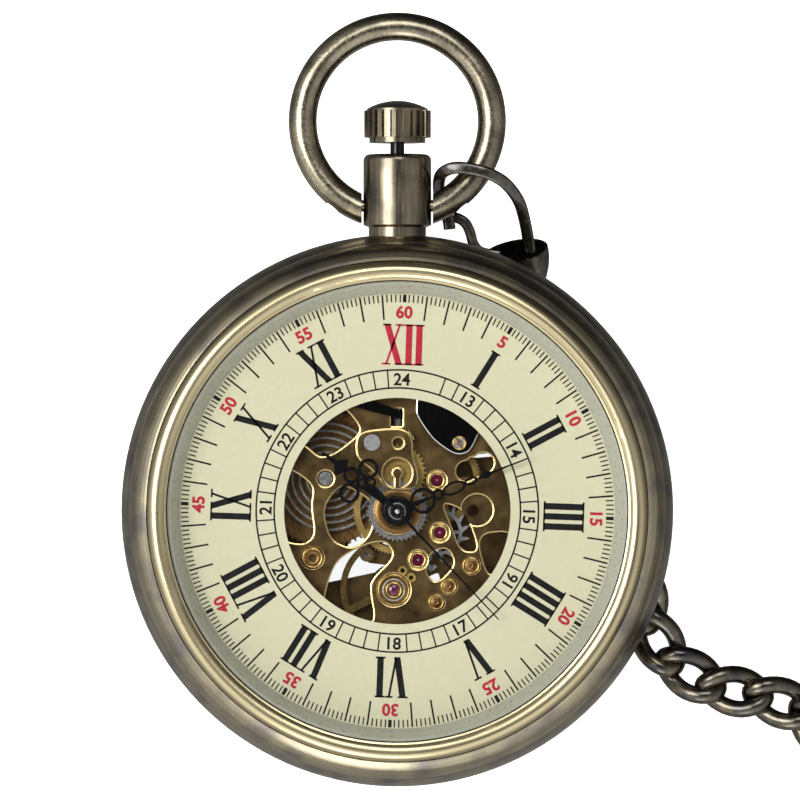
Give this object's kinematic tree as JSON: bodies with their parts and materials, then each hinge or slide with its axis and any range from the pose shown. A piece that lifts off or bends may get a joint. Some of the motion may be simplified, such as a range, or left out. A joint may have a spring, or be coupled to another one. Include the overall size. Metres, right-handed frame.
{
  "type": "pocket watch",
  "caption": "Open-dial pocket watch with a visible hand-wound movement, a ring bow, a spring clasp and a curb chain, lying on its back.",
  "frame": {"origin": "middle of the flat ring of the back lid that the watch rests on", "axes": "+Z out of the dial, +Y toward the crown at twelve, +X toward three"},
  "size_m": [0.1128, 0.0883, 0.014],
  "materials": {
    "case_bronze": "antique bronze, brushed round the case",
    "bezel_gilt": "brushed pale gold bead over grey-brown band",
    "crystal_glass": "clear",
    "crown_bronze": "antique bronze, fluted",
    "bow_bronze": "polished antique bronze",
    "dial_cream": "satin pale cream with printed scales",
    "reflector": "satin grey-white",
    "black_hand": "gloss black",
    "plate_bronze": "dark bronze with bright bevels",
    "gilt": "gilt, satin",
    "brass": "satin brass",
    "steel": "polished steel",
    "dark_steel": "dark polished steel",
    "ruby": "polished synthetic ruby",
    "ring_metal": "matt metal",
    "blued_spring": "blued steel",
    "clasp_metal": "antique bronze, worn",
    "chain_metal": "dark gunmetal with bronze wear"
  },
  "bodies": {
    "case": {"case_band": "case_bronze", "back_lid": "case_bronze", "bezel": "bezel_gilt", "crystal": "crystal_glass", "back_crystal": "crystal_glass", "reflector_ring": "reflector", "pendant": "crown_bronze", "bow_pins": "bow_bronze", "dial": "dial_cream", "main_plate": "plate_bronze", "barrel_bridge": "plate_bronze", "train_bridge": "plate_bronze", "balance_cock": "plate_bronze", "pallet_cock": "plate_bronze", "minute_bridge": "plate_bronze", "setting_bridge": "dark_steel", "movement_ring": "ring_metal", "case_and_dial_screws": "steel", "bridge_screws": "steel", "plate_posts": "brass", "plate_jewels": "ruby", "bridge_jewels": "ruby", "jewel_settings": "gilt", "clasp_ring": "clasp_metal", "chain_run": "chain_metal", "chain_coil": "chain_metal", "chain_bar": "chain_metal"},
    "winding": {"winding_pinion": "steel"},
    "crown": {"crown": "crown_bronze", "stem": "steel"},
    "clutch": {"sliding_clutch": "steel"},
    "setting_lever": {"setting_lever": "dark_steel"},
    "yoke": {"yoke": "dark_steel"},
    "minute": {"minute_hand": "black_hand", "cannon_pinion": "steel"},
    "hour": {"hour_hand": "black_hand", "hour_wheel": "steel"},
    "minute_wheel": {"minute_wheel": "brass"},
    "setting_wheel": {"setting_wheel": "steel"},
    "center": {"center_wheel": "brass"},
    "third": {"third_wheel": "brass"},
    "seconds": {"second_hand": "black_hand", "fourth_wheel": "brass"},
    "escape": {"escape_wheel": "steel"},
    "barrel": {"mainspring_barrel": "brass"},
    "arbor": {"ratchet_wheel": "steel", "barrel_arbor": "steel", "mainspring": "steel"},
    "crown_wheel": {"crown_wheel": "steel"},
    "click": {"click": "steel"},
    "fork": {"pallet_fork": "steel", "pallet_stones": "ruby"},
    "balance": {"balance_wheel": "gilt", "balance_staff": "steel", "hairspring": "blued_spring"},
    "regulator": {"regulator": "steel"},
    "bow": {"bow": "bow_bronze"},
    "clasp": {"clasp_cup": "clasp_metal", "clasp_hook": "clasp_metal"},
    "gate": {"clasp_gate": "clasp_metal"}
  },
  "joints": [
    {"name": "crown_turn", "type": "hinge", "parent": "case", "child": "winding", "pos_m": [0, 0.00985, 0.0062], "axis": [0, 1, 0], "continuous": true},
    {"name": "crown_pull", "type": "slide", "parent": "winding", "child": "crown", "axis": [0, 1, 0], "range_m": [0, 0.0008]},
    {"name": "clutch_slide", "type": "slide", "parent": "winding", "child": "clutch", "axis": [0, -1, 0], "range_m": [0, 0.0006]},
    {"name": "setting_lever_turn", "type": "hinge", "parent": "case", "child": "setting_lever", "pos_m": [0.004, 0.012, 0.0087], "axis": [0, 0, -1], "range_deg": [0, 11.5]},
    {"name": "yoke_turn", "type": "hinge", "parent": "case", "child": "yoke", "pos_m": [-0.004, 0.0095, 0.0087], "axis": [0, 0, -1], "range_deg": [0, 8.6]},
    {"name": "minute_hand_turn", "type": "hinge", "parent": "case", "child": "minute", "pos_m": [0, 0, 0.01], "axis": [0, 0, -1], "continuous": true},
    {"name": "hour_hand_turn", "type": "hinge", "parent": "case", "child": "hour", "pos_m": [0, 0, 0.01], "axis": [0, 0, -1], "continuous": true},
    {"name": "minute_wheel_turn", "type": "hinge", "parent": "case", "child": "minute_wheel", "pos_m": [0, 0.00323, 0.0088], "axis": [0, 0, -1], "continuous": true},
    {"name": "setting_wheel_turn", "type": "hinge", "parent": "case", "child": "setting_wheel", "pos_m": [-0.00215, 0.00581, 0.0088], "axis": [0, 0, -1], "continuous": true},
    {"name": "center_wheel_turn", "type": "hinge", "parent": "case", "child": "center", "pos_m": [0, 0, 0.007], "axis": [0, 0, -1], "continuous": true},
    {"name": "third_wheel_turn", "type": "hinge", "parent": "case", "child": "third", "pos_m": [0.00337, 0.0026, 0.007], "axis": [0, 0, -1], "continuous": true},
    {"name": "second_hand_turn", "type": "hinge", "parent": "case", "child": "seconds", "pos_m": [0, 0, 0.007], "axis": [0, 0, -1], "continuous": true},
    {"name": "escape_wheel_turn", "type": "hinge", "parent": "case", "child": "escape", "pos_m": [0.00361, -0.00185, 0.007], "axis": [0, 0, -1], "continuous": true},
    {"name": "barrel_turn", "type": "hinge", "parent": "case", "child": "barrel", "pos_m": [-0.00612, 0.00274, 0.007], "axis": [0, 0, -1], "continuous": true},
    {"name": "ratchet_turn", "type": "hinge", "parent": "case", "child": "arbor", "pos_m": [-0.00612, 0.00274, 0.00475], "axis": [0, 0, 1], "continuous": true},
    {"name": "crown_wheel_turn", "type": "hinge", "parent": "case", "child": "crown_wheel", "pos_m": [0, 0.0064, 0.00475], "axis": [0, 0, 1], "continuous": true},
    {"name": "click_turn", "type": "hinge", "parent": "case", "child": "click", "pos_m": [-0.00811, 0.00765, 0.00475], "axis": [0, 0, 1], "range_deg": [0, 8], "stiffness_Nm_per_rad": 0.00002},
    {"name": "pallet_fork_turn", "type": "hinge", "parent": "case", "child": "fork", "pos_m": [0.00176, -0.00418, 0.0069], "axis": [0, 0, 1], "range_deg": [-4, 4]},
    {"name": "balance_turn", "type": "hinge", "parent": "case", "child": "balance", "pos_m": [-0.0003, -0.00674, 0.0055], "axis": [0, 0, 1], "range_deg": [-270, 270], "stiffness_Nm_per_rad": 0.0000004},
    {"name": "regulator_turn", "type": "hinge", "parent": "case", "child": "regulator", "pos_m": [-0.0003, -0.00674, 0.0035], "axis": [0, 0, 1], "range_deg": [-10, 10]},
    {"name": "bow_swing", "type": "hinge", "parent": "case", "child": "bow", "pos_m": [0, 0.02605, 0.0062], "axis": [1, 0, 0], "range_deg": [-80, 0]},
    {"name": "clasp_swivel", "type": "hinge", "parent": "case", "child": "clasp", "pos_m": [0.0112, 0.018, 0.00125], "axis": [-0.2079, 0.9782, 0], "range_deg": [-1, 1]},
    {"name": "clasp_gate_press", "type": "hinge", "parent": "clasp", "child": "gate", "pos_m": [0.0089, 0.0219, 0.0024], "axis": [0, 0, -1], "range_deg": [0, 12], "stiffness_Nm_per_rad": 0.005}
  ],
  "couplings": [
    {"joint": "clutch_slide", "follows": "crown_pull", "ratio": 0.75},
    {"joint": "setting_lever_turn", "follows": "crown_pull", "rad_per_m": 250},
    {"joint": "yoke_turn", "follows": "crown_pull", "rad_per_m": 187.5},
    {"joint": "hour_hand_turn", "follows": "minute_hand_turn", "ratio": 0.083333},
    {"joint": "minute_wheel_turn", "follows": "minute_hand_turn", "ratio": -0.33333},
    {"joint": "setting_wheel_turn", "follows": "minute_hand_turn", "ratio": 0.85714},
    {"joint": "center_wheel_turn", "follows": "minute_hand_turn", "ratio": 1},
    {"joint": "third_wheel_turn", "follows": "minute_hand_turn", "ratio": -8},
    {"joint": "second_hand_turn", "follows": "minute_hand_turn", "ratio": 60},
    {"joint": "escape_wheel_turn", "follows": "minute_hand_turn", "ratio": -600},
    {"joint": "barrel_turn", "follows": "minute_hand_turn", "ratio": -0.13889},
    {"joint": "crown_wheel_turn", "follows": "crown_turn", "ratio": 0.43333},
    {"joint": "ratchet_turn", "follows": "crown_turn", "ratio": -0.37143}
  ]
}
